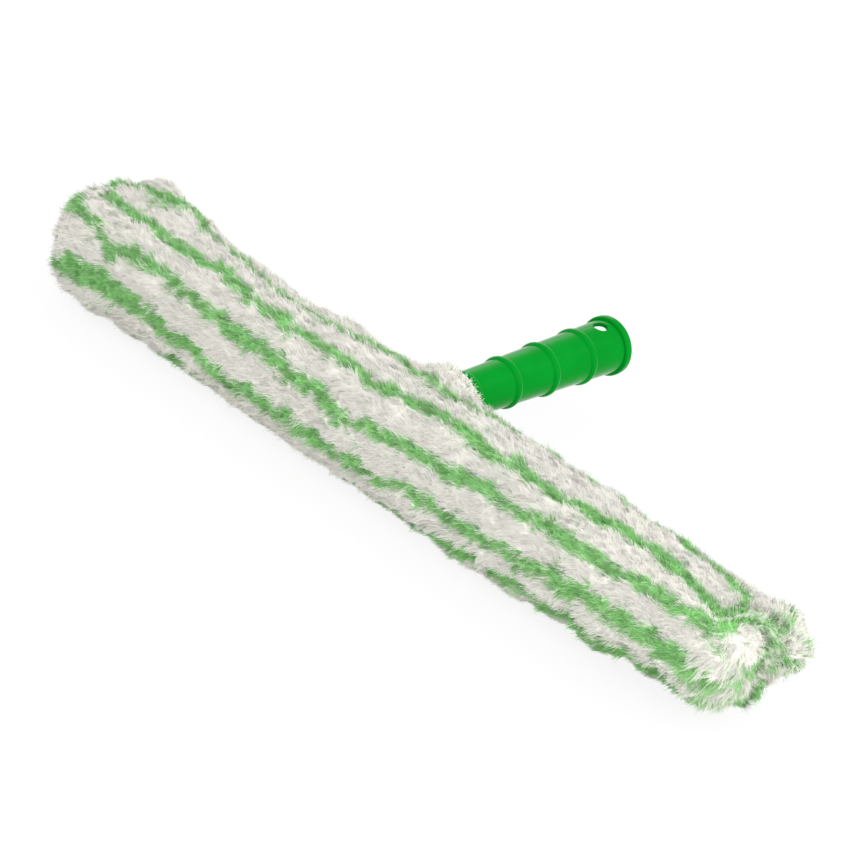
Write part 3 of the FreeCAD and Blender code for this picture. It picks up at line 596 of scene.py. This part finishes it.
fibre = Settings(
    perTuft=9, perPiece=19000, radius=0.1, radii=(0.8, 1.25), sizes=(0.62, 1.12),
    rings=(0.0, 0.52), taper=(1.0, 0.85),  # places along it, and its width there
    section=((-1.0, 0.0), (1.0, 0.0), (0.0, 0.35)), roll=0.22,
    spread=1.4, sunk=0.5, tipSpread=0.75, tipStray=0.6,
    upright=0.14, uprightRise=1.1, uprightShort=0.2,  # a few stand clear of the rest
    bendPlace=0.35, bendRise=1.4, bendStray=0.22,
    lowest=0.25, lowestStray=0.35,
    litFacing=0.5, litHigh=0.65, litTilt=0.1,  # lit as the pile's surface, not as threads
    edge=0.9, edgeStray=0.9, lobeStray=1.3, lightStray=0.18,
)
fibreFaces = [(k, (k + 1) % 3, 3 + (k + 1) % 3, 3 + k) for k in range(3)]
fibreFaces += [(3 + k, 3 + (k + 1) % 3, 6) for k in range(3)] + [(2, 1, 0)]
fibreLoops = np.array([corner for face in fibreFaces for corner in face])
undersideLoops = np.array((0, 1, 2, 3, 12, 13, 14))  # of the two faces on a fibre's underside

def fibreShapes(tufts, which, rng):  # corners of closed three-sided fibres, and their normals
    count = len(which)
    place, facing, flow = (tufts[key][which] for key in ("place", "facing", "flow"))
    height = tufts["height"][which][:, None]
    turn = rng.uniform(0, 2 * math.pi, count)
    away = fibre.spread * np.sqrt(rng.uniform(0, 1, count))
    offset = flow * np.cos(turn)[:, None] + np.cross(facing, flow) * np.sin(turn)[:, None]
    offset = offset * away[:, None]
    root = place + offset - facing * fibre.sunk
    size = rng.uniform(*fibre.sizes, count)[:, None]
    upright = (rng.uniform(0, 1, count) < fibre.upright)[:, None]
    reach = tufts["tip"][which] - place
    reach = reach + upright * (facing * fibre.uprightRise * height - fibre.uprightShort * reach)
    tip = place + reach * size + offset * fibre.tipSpread
    tip = tip + rng.normal(0, fibre.tipStray, (count, 3))
    bend = root + (tip - root) * fibre.bendPlace + facing * (height * size * fibre.bendRise)
    bend = bend + rng.normal(0, fibre.bendStray, (count, 3))
    radius = fibre.radius * np.array(fibre.taper) * rng.uniform(*fibre.radii, count)[:, None]
    corners, lit, under = (np.empty((count, 7, 3)) for array in range(3))
    roll = rng.normal(0, fibre.roll, count)[:, None]
    tilt = rng.normal(0, fibre.litTilt, (count, 3))
    for ring, t in enumerate(fibre.rings):
        middle = root * (1 - t) ** 2 + bend * (2 * t * (1 - t)) + tip * t ** 2
        along = unit((bend - root) * (1 - t) + (tip - bend) * t)
        flat = unit(np.cross(facing, along))
        proud = np.cross(along, flat)
        wide = flat * np.cos(roll) + proud * np.sin(roll)
        high = proud * np.cos(roll) - flat * np.sin(roll)
        for k, (outward, upward) in enumerate(fibre.section, ring * 3):
            corners[:, k] = middle + (wide * outward + high * upward) * radius[:, ring:ring + 1]
            lit[:, k] = unit(fibre.litFacing * facing + fibre.litHigh * high + tilt)
            under[:, k] = -high
    corners[:, 6], lit[:, 6], under[:, 6] = tip, lit[:, 5], under[:, 5]
    lowest = fibre.lowest + fibre.lowestStray * rng.uniform(0, 1, count)[:, None]
    corners[:, :, 2] = np.maximum(corners[:, :, 2], lowest)
    normals = lit[:, fibreLoops]
    normals[:, undersideLoops] = under[:, fibreLoops[undersideLoops]]
    return corners, normals

def paintFibres(mesh, tufts, which, rng):
    count, tones = len(which), pile["tones"]
    stray = rng.normal(0, fibre.edgeStray, count) * (1 + fibre.lobeStray * tufts["lobe"][which])
    green = np.clip(0.5 + (tufts["edge"][which] + stray) / fibre.edge, 0, 1)
    green = np.round(green * (tones - 1))
    light = tufts["light"][which] + rng.normal(0, fibre.lightStray, count)
    light = np.clip(np.round(light * (tones - 1)), 0, tones - 1)
    along = np.repeat((*fibre.rings, 1.0), (3, 3, 1))
    setValues(mesh, "green", np.repeat(green / (tones - 1), 7))
    setValues(mesh, "light", np.repeat(light / (tones - 1), 7))
    setValues(mesh, "along", np.tile(along, count))
    column = (green * tones + light) / tones ** 2  # fibres of one tone share a strip of the map
    across = np.array((0.2, 0.5, 0.8) * 2 + (0.5,))[fibreLoops] / tones ** 2
    up = 0.03 + 0.94 * along[fibreLoops]
    up[-2] = 0.01  # the root's cap takes up a little of the strip too
    flat = np.empty((count, len(fibreLoops), 2), np.float32)
    flat[:, :, 0] = column[:, None] + across[None]
    flat[:, :, 1] = up[None]
    mesh.uv_layers.new(name="OFBake").data.foreach_set("uv", flat.ravel())
    isGreen = np.repeat(green > tones / 2 - 0.5, len(fibreFaces))
    mesh.polygons.foreach_set("material_index", isGreen.astype(np.int32))

def fibrePiece(name, tufts, which, rng):
    which = np.repeat(which, fibre.perTuft)
    count, faces, loops = len(which), len(fibreFaces), len(fibreLoops)
    corners, normals = fibreShapes(tufts, which, rng)
    number = np.arange(count)[:, None]
    starts = np.r_[0, np.cumsum([len(face) for face in fibreFaces])[:-1]]
    mesh = bpy.data.meshes.new(name)
    mesh.vertices.add(count * 7)
    setPlaces(mesh, corners)
    mesh.loops.add(count * loops)
    mesh.loops.foreach_set("vertex_index", (fibreLoops[None] + 7 * number).astype(np.int32).ravel())
    mesh.polygons.add(count * faces)
    mesh.polygons.foreach_set("loop_start", (starts[None] + loops * number).astype(np.int32).ravel())
    mesh.update(calc_edges=True)
    attribute = mesh.attributes.new("custom_normal", "FLOAT_VECTOR", "CORNER")
    attribute.data.foreach_set("vector", normals.astype(np.float32).ravel())
    paintFibres(mesh, tufts, which, rng)
    piece = linked(name, mesh)
    for material in pileFibres:
        mesh.materials.append(material)
    return piece

def makeFibreMaterial(name, through):
    material, net = newMaterial(name)
    green, light, along = (net.attribute(label) for label in ("green", "light", "along"))
    # darker towards the root: painted shade deep in the pile
    white, leaf = (along.eased(0.0, 0.9).tint(pile[root], pile[tip])
                   for root, tip in (("whiteRoot", "whiteTip"), ("greenRoot", "greenTip")))
    # the light value darkens the colour: random tone, painted shade and painted light
    shade = 1 - (1 - light) * (pile["whiteShade"] + green * pile["greenShade"])
    colour = green.tint(white, leaf)
    colour = net.make("VectorMath", {"operation": "SCALE"}, {0: colour, "Scale": shade})
    skin = net.make("BsdfPrincipled", None,
                    {"Base Color": colour, "Roughness": 0.85, "Specular IOR Level": 0.1})
    glow = net.make("BsdfTranslucent", None, {"Color": (*through, 1)})
    both = net.make("MixShader", None, {0: pile["glow"], 1: skin, 2: glow})
    net.make("OutputMaterial", None, {"Surface": both})
    return material

def makeCoreMaterial():
    material, net = newMaterial("pileFelt")
    fuzz = net.make("TexCoord", out="Object").noise(900.0, 4.0)
    # the felt's colours are darkened: painted shade under the fibres
    dark = {key: [c * pile["felt"] for c in pile[key]]
            for key in ("whiteRoot", "whiteTip", "greenRoot", "greenTip")}
    white, leaf = (fuzz.eased(0.3, 0.7).tint(dark[root], dark[tip])
                   for root, tip in (("whiteRoot", "whiteTip"), ("greenRoot", "greenTip")))
    return finished(material, net, {"Base Color": net.attribute("green").tint(white, leaf),
                                    "Roughness": 0.95, "Normal": fuzz.bumped(0.6, 0.0008)})

bald = Settings(  # faces where no tufts grow
    shallow=2.4, shallowSpan=2, mouthFacing=0.9, sleeveMouth=-210, flapMouth=-219.5,
    innerFacing=-0.85, innerDepth=15,  # inner face of the flap
    underFlap=-163, underDepth=(17, 27), underFacing=0.4, underHeight=47,
    slitHalf=2.8, slitDepth=18, slitFacing=0.7,
)

def tuftWeight(rest, deep, facing, onFlap):
    x, y, z = rest.T
    weight = np.clip((deep - bald.shallow) / bald.shallowSpan, 0, 1)
    if onFlap:
        weight[(x > bald.flapMouth) & (facing[:, 0] > bald.mouthFacing)] = 0
        weight[(facing[:, 1] < bald.innerFacing) & (y > bald.innerDepth)] = 0
    else:
        weight[(x < bald.sleeveMouth) & (facing[:, 0] < -bald.mouthFacing)] = 0
        nearest, farthest = bald.underDepth
        under = (x < bald.underFlap) & (y > nearest) & (y < farthest) & (z < bald.underHeight)
        weight[under & (facing[:, 1] > bald.underFacing)] = 0
        slit = (np.abs(z - pile["axis"]) < bald.slitHalf) & (x < 0) & (y > bald.slitDepth)
        weight[slit & (np.abs(facing[:, 2]) > bald.slitFacing)] = 0
    return weight

def growPile(node, body, label, share, seed):
    rng = np.random.default_rng(seed)
    onFlap = body == "end_flap"
    felt, rest, deep, facing = pileCore(node, label + "Felt", onFlap)
    wear(felt.data, pileFelt)
    count = int(tuft.count * share * (1))
    points, normals = vertexArrays(felt.data)
    weight = tuftWeight(rest, deep, facing, onFlap)
    corner, part = spread(felt.data, points, weight, count, rng)
    place, here, out = ((values[corner] * part).sum(1) for values in (points, rest, normals))
    tufts = growTufts(here, place, unit(out), onFlap, rng)
    order = np.argsort(place[:, 0])
    groups = max(1, math.ceil(count * fibre.perTuft / fibre.perPiece / 2))
    pieces = [felt]
    for number, which in enumerate(np.array_split(order, groups)):
        for layer in range(2):
            name = f"{label}Fibres{number * 2 + layer + 1:02d}"
            piece = fibrePiece(name, tufts, which[layer::2], rng)
            piece.visible_shadow = layer == 0  # light finds its way through thin pale pile
            pieces.append(piece)
    for piece in pieces:
        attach(piece, body)
        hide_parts(node)
    print(label, "grown:", count, "tufts in", len(pieces) - 1, "pieces")

pileFibres = [makeFibreMaterial(hue + "Fibre", pile[hue + "Tip"]) for hue in ("white", "green")]
pileFelt = makeCoreMaterial()
growPile("sleeve_pile", "washer", "sleevePile", 0.88, 21)
growPile("flap_pile", "end_flap", "flapPile", 0.12, 22)

# woven backing, bindings and closure tapes, in millimetres too

weaves = {  # pitch in millimetres, depth in metres
    "backing": {"light": (0.86, 0.855, 0.83), "dark": (0.66, 0.655, 0.63), "pitch": 1.1, "depth": 0.00022},
    "tape": {"light": (0.88, 0.875, 0.85), "dark": (0.68, 0.675, 0.65), "pitch": 0.7, "depth": 0.00015},
    "closure": {"light": (0.78, 0.78, 0.77), "dark": (0.55, 0.55, 0.54), "pitch": 0.9, "depth": 0.00018},
    "thread": {"light": (0.9, 0.9, 0.88), "dark": (0.72, 0.72, 0.7), "pitch": 0.3, "depth": 0.00006},
}
cloth = Settings(
    wavelength=27.0, waveSeeds=(41, 42, 43), rounding=0.35, mostCuts=9,
    bindingInset=0.25,  # share of the pile's depth that cloth at the mouth leaves to the fibres
    insetPlace=(205, 212),
    hinge=((-212.5, -17.5), (-213.2, -21.5), (-215.0, -23.2), (-217.2, -21.5), (-218.0, -17.5)),
    hingeLow=16.0, hingeHigh=48.0, hingeHalf=0.5, hingeSteps=29, hingeLevels=16,
    stitch=((-0.95, 0, -0.15), (-0.5, 0, 0.12), (0.5, 0, 0.12), (0.95, 0, -0.15)),
    stitchRadius=0.17, stitchStep=2.6, stitchTurn=0.06, stitchSize=0.05,
    hook=((0, 0, -0.1), (0.02, 0, 0.45), (0.16, 0, 0.68), (0.34, 0, 0.62), (0.4, 0, 0.46)),
    hookRadius=0.075, hookStep=1.5, hookInset=2.6, hookSeam=1.4,
    loop=((-0.3, 0, -0.1), (-0.36, 0, 0.3), (-0.1, 0.05, 0.52), (0.2, 0.1, 0.42), (0.3, 0.12, -0.1)),
    loopRadius=0.05, loopStep=0.85, loopInset=2.4, loopSeam=1.2, slitHalf=1.5,
    hemInset=3, mouthSeam=13.0, mouthTurn=(60, 300),
)

def makeWeave(name):
    kind = weaves[name]
    material, net = newMaterial(name + "Weave")
    place = net.make("TexCoord", out="Object")
    x, y, z = (net.make("SeparateXYZ", None, {0: place}, out=axis) for axis in "XYZ")
    turns = 2000 * math.pi / kind["pitch"]
    warp, weft = (net.make("Math", {"operation": "SINE"}, {0: way * turns}) for way in (x, y + z))
    weave = 0.5 + warp * weft * 0.5
    fluff = place.noise(700.0, 3.0)
    height = weave * 0.7 + fluff * 0.5
    return finished(material, net, {
        "Base Color": height.eased(0.2, 0.9).tint(kind["dark"], kind["light"]),
        "Roughness": 0.82 + fluff * 0.15,
        "Normal": height.bumped(0.7, kind["depth"]),
        "Specular IOR Level": 0.2,
    })

def dressPiece(piece, body, node, material):
    wear(piece.data, material)
    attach(piece, body)
    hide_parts(node)

def smoothPiece(name, mesh):
    mesh.polygons.foreach_set("use_smooth", np.ones(len(mesh.polygons), bool))
    return linked(name, mesh)

def clothCopy(node, name, longest, wave, rounds, inset=0.0):  # the CAD cloth, finer, rounded and wavy
    mesh = nodes[node].data.copy()
    mesh.name = name
    shape = welded(mesh)
    for cut in range(cloth.mostCuts):
        far = [e for e in shape.edges if e.calc_length() > longest / 1000]
        if not far:
            break
        bmesh.ops.subdivide_edges(shape, edges=far, cuts=1)
        bmesh.ops.triangulate(shape, faces=shape.faces)
    for again in range(rounds):
        bmesh.ops.smooth_vert(shape, verts=shape.verts, factor=cloth.rounding,
                              use_axis_x=True, use_axis_y=True, use_axis_z=True)
    putBack(shape, mesh)
    points = vertexArrays(mesh)[0]
    if inset:  # goes in with the pile at the mouth
        section = (points - np.array((0, 0, pile["axis"]))) * np.array((0, 1, 1))
        away = section - np.sign(section) * np.minimum(np.abs(section), np.array(woven.flat))
        deep = np.maximum(np.linalg.norm(away, axis=1) - woven.corner, 0)
        deep = deep * easedStep(-points[:, 0], *cloth.insetPlace)
        points = slumped(points - unit(away) * (inset * deep)[:, None], node == "flap_backing")
    waves = [wander(points, cloth.wavelength, seed) for seed in cloth.waveSeeds]
    setPlaces(mesh, points + wave * np.stack(waves, 1))
    mesh.update()
    return smoothPiece(name, mesh)

def tubeAlong(path, radius, sides=5):  # a closed tube along a few points, as a template
    path = np.array(path, float)
    along = unit(np.gradient(path, axis=0))
    across = unit(np.cross(along, np.array((0.03, 1.0, 0.02))))  # no path runs this way
    third = np.cross(along, across)
    turns = np.arange(sides) * 2 * math.pi / sides
    rings = [path + radius * (math.cos(a) * across + math.sin(a) * third) for a in turns]
    points = np.stack(rings, 1).reshape(-1, 3)
    last = (len(path) - 1) * sides
    faces = [tuple(range(sides))[::-1], tuple(range(last, last + sides))]
    return points, faces + ringFaces(len(path) - 1, sides)

def ringFaces(rings, around):  # four-sided faces between rings of corners
    faces = []
    for first in range(0, rings * around, around):
        for k in range(around):
            a, b = first + k, first + (k + 1) % around
            faces.append((a, b, b + around, a + around))
    return faces

def scatter(name, template, places, forward, outward, sizes):
    points, faces = template
    forward, outward = unit(np.array(forward, float)), unit(np.array(outward, float))
    axes = np.stack([forward, np.cross(outward, forward), outward])[:, :, None]
    local = points[None] * np.array(sizes, float)[:, None, None]
    corners = np.array(places, float)[:, None]
    for k in range(3):
        corners = corners + local[:, :, k:k + 1] * axes[k]
    allFaces = [tuple(i + n * len(points) for i in face) for n in range(len(places)) for face in faces]
    mesh = bpy.data.meshes.new(name)
    mesh.from_pydata((corners.reshape(-1, 3) / 1000).tolist(), [], allFaces)
    return smoothPiece(name, mesh)

def hingeFold():  # the front's cloth carried into the flap, folded while the flap is shut
    line = np.array(cloth.hinge, float)
    steps = np.linspace(0, len(line) - 1, cloth.hingeSteps)
    path = np.stack([np.interp(steps, np.arange(len(line)), line[:, k]) for k in range(2)], 1)
    for again in range(6):
        path[1:-1] = path[1:-1] / 2 + (path[:-2] + path[2:]) / 4
    ahead = unit(np.gradient(path, axis=0))
    aside = np.stack([-ahead[:, 1], ahead[:, 0]], 1) * cloth.hingeHalf
    loop = np.r_[path + aside, (path - aside)[::-1]]
    around, last = len(loop), (cloth.hingeLevels - 1) * len(loop)
    levels = np.linspace(cloth.hingeLow, cloth.hingeHigh, cloth.hingeLevels)
    points = slumped(np.array([(x, y, z) for z in levels for x, y in loop]), True) / 1000
    faces = ringFaces(len(levels) - 1, around)
    for k in range(around // 2 - 1):
        rim = (k, around - 1 - k, around - 2 - k, k + 1)
        faces += [rim, tuple(last + i for i in rim[::-1])]
    mesh = bpy.data.meshes.new("hingeFold")
    mesh.from_pydata(points.tolist(), [], faces)
    mesh.materials.append(backingWeave)
    piece = smoothPiece("hingeFold", mesh)
    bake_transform(piece)
    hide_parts("flap_backing")
    return piece

def boxOf(node):
    low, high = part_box(node)
    return np.array(low) * 1000, np.array(high) * 1000

def seamPoints(path, step):  # places a step apart along a path, with its direction there
    path = np.array(path, float)
    length = np.r_[0, np.cumsum(np.linalg.norm(np.diff(path, axis=0), axis=1))]
    marks = np.arange(step / 2, length[-1], step)
    places, ahead, behind = (np.stack([np.interp(marks + off, length, path[:, k]) for k in range(3)], 1)
                             for off in (0, 0.2, -0.2))
    return places, unit(ahead - behind)

def sewn(name, body, node, path, outward, rng):  # outward is one way, or finds one for each place
    places, forward = seamPoints(path, cloth.stitchStep)
    facing = outward(places) if callable(outward) else np.tile(outward, (len(places), 1))
    forward = forward + rng.normal(0, cloth.stitchTurn, forward.shape)
    sizes = rng.normal(1, cloth.stitchSize, len(places))
    stitch = tubeAlong(cloth.stitch, cloth.stitchRadius)
    dressPiece(scatter(name, stitch, places, forward, facing, sizes), body, node, threadWeave)

def rectangle(low, high, inset, level):  # a closed path in X and Z at one depth
    (x0, z0), (x1, z1) = (low[0] + inset, low[2] + inset), (high[0] - inset, high[2] - inset)
    return [(x0, level, z0), (x1, level, z0), (x1, level, z1), (x0, level, z1), (x0, level, z0)]

def gridPlaces(low, high, step, inset, level, rng):  # places over a tape, at one depth
    xs, zs = (np.arange(low[k] + inset, high[k] - inset, step) for k in (0, 2))
    grid = np.stack(np.meshgrid(xs, zs), -1).reshape(-1, 2)
    grid = grid + rng.normal(0, step * 0.08, grid.shape)
    return np.stack([grid[:, 0], np.full(len(grid), level), grid[:, 1]], 1)

def layCloth():
    sleeve = clothCopy("sleeve_backing", "sleeveBacking", 7.0, 0.12, 1)
    dressPiece(sleeve, "washer", "sleeve_backing", backingWeave)
    flap = clothCopy("flap_backing", "flapBacking", 4.0, 0.1, 1, cloth.bindingInset)
    dressPiece(flap, "end_flap", "flap_backing", backingWeave)
    hingeFold()
    for node, name, body, inset in (
        ("mouth_binding", "mouthBinding", "washer", cloth.bindingInset),
        ("neck_binding", "neckBinding", "washer", 0),
        ("slit_bindings", "slitBindings", "washer", 0),
        ("end_seam", "endSeam", "washer", 0),
        ("flap_hem", "flapHem", "end_flap", 0),
    ):
        binding = clothCopy(node, name, 2.5, 0.08, 2, inset)
        dressPiece(binding, body, node, tapeWeave)
    for node, name, body in (("loop_strips", "loopStrips", "washer"),
                             ("hook_strip", "hookStrip", "end_flap")):
        dressPiece(clothCopy(node, name, 3.0, 0.03, 1), body, node, closureWeave)

def setHooks(rng):
    low, high = boxOf("hook_strip")
    places = gridPlaces(low, high, cloth.hookStep, cloth.hookInset, low[1], rng)
    count = len(places)
    ways = np.where(np.arange(count) % 2, 1.0, -1.0)[:, None] * np.array((0, 0, 1.0))
    ways = ways + rng.normal(0, 0.15, (count, 3))
    hook = tubeAlong(cloth.hook, cloth.hookRadius, 4)
    hooks = scatter("hookStripHooks", hook, places, ways, [(0, -1, 0)] * count,
                    rng.normal(1, 0.06, count))
    dressPiece(hooks, "end_flap", "hook_strip", closureWeave)
    sewn("hookStripStitches", "end_flap", "hook_strip",
         rectangle(low, high, cloth.hookSeam, low[1]), (0, -1.0, 0), rng)

def setLoops(rng):
    low, high = boxOf("loop_strips")
    below, above = pile["axis"] - cloth.slitHalf, pile["axis"] + cloth.slitHalf
    for number, (bottom, top) in enumerate(((low[2], below), (above, high[2])), 1):
        lowest, highest = np.array((low[0], low[1], bottom)), np.array((high[0], high[1], top))
        places = gridPlaces(lowest, highest, cloth.loopStep, cloth.loopInset, high[1], rng)
        count = len(places)
        ways = rng.normal(0, 1, (count, 3)) * np.array((1, 0, 1))
        loop = tubeAlong(cloth.loop, cloth.loopRadius, 3)
        loops = scatter(f"loopStripLoops{number}", loop, places, ways, [(0, 1, 0)] * count,
                        rng.normal(1, 0.12, count))
        dressPiece(loops, "washer", "loop_strips", closureWeave)
        sewn(f"loopStripStitches{number}", "washer", "loop_strips",
             rectangle(lowest, highest, cloth.loopSeam, high[1]), (0, 1.0, 0), rng)

def sewBindings(rng):
    low, high = boxOf("flap_hem")
    middle = (low[1] + high[1]) / 2
    hem = [(high[0], middle, z) for z in (low[2] + cloth.hemInset, high[2] - cloth.hemInset)]
    sewn("flapHemStitches", "end_flap", "flap_hem", hem, (1.0, 0, 0), rng)
    low, high = boxOf("mouth_binding")
    ring = []
    for a in np.radians(np.linspace(*cloth.mouthTurn, 80)):
        across, up = math.cos(a), math.sin(a)
        ring.append((low[0], math.copysign(woven.flat[1], across) + cloth.mouthSeam * across,
                     pile["axis"] + math.copysign(woven.flat[2], up) + cloth.mouthSeam * up))
    sewn("mouthBindingStitches", "washer", "mouth_binding",
         slumped(np.array(ring), False), (-1.0, 0, 0), rng)
    low, high = boxOf("neck_binding")
    reach, middle = (high[0] - low[0]) / 2, (low[1] + high[1]) / 2
    ring = [(reach * math.cos(a), middle, pile["axis"] + reach * math.sin(a))
            for a in np.linspace(0, 2 * math.pi, 90)]
    sewn("neckBindingStitches", "washer", "neck_binding", ring,
         lambda p: (p - np.array((0, 0, pile["axis"]))) * np.array((1, 0, 1)), rng)

backingWeave, tapeWeave, closureWeave, threadWeave = (makeWeave(name) for name in weaves)
sewingDraws = np.random.default_rng(51)
layCloth()
setHooks(sewingDraws)
setLoops(sewingDraws)
sewBindings(sewingDraws)
print("cloth and tapes dressed")

# zinc-plated saddle screws and their spacers

steel = Settings(
    colour=(0.62, 0.62, 0.6), dull=(0.46, 0.46, 0.45), cloudScale=420.0,
    roughness=0.32, uneven=0.15,
    scratchScale=1900.0, scratch=0.15, scratchDepth=0.0001,
)

def makeSteel():
    material, net = newMaterial("screwSteel")
    place = net.make("TexCoord", out="Object")
    cloud = place.noise(steel.cloudScale, 4.0)
    scratch = place.noise(steel.scratchScale, 2.0)
    return finished(material, net, {
        "Base Color": cloud.eased(0.35, 0.7).tint(steel.dull, steel.colour),
        "Metallic": 1.0,
        "Roughness": steel.roughness + cloud * steel.uneven,
        "Normal": scratch.bumped(steel.scratch, steel.scratchDepth),
    })

screwSteel = makeSteel()
for name in ("saddle_screws", "screw_spacers"):
    wear(nodes[name].data, screwSteel)
print("screws dressed")
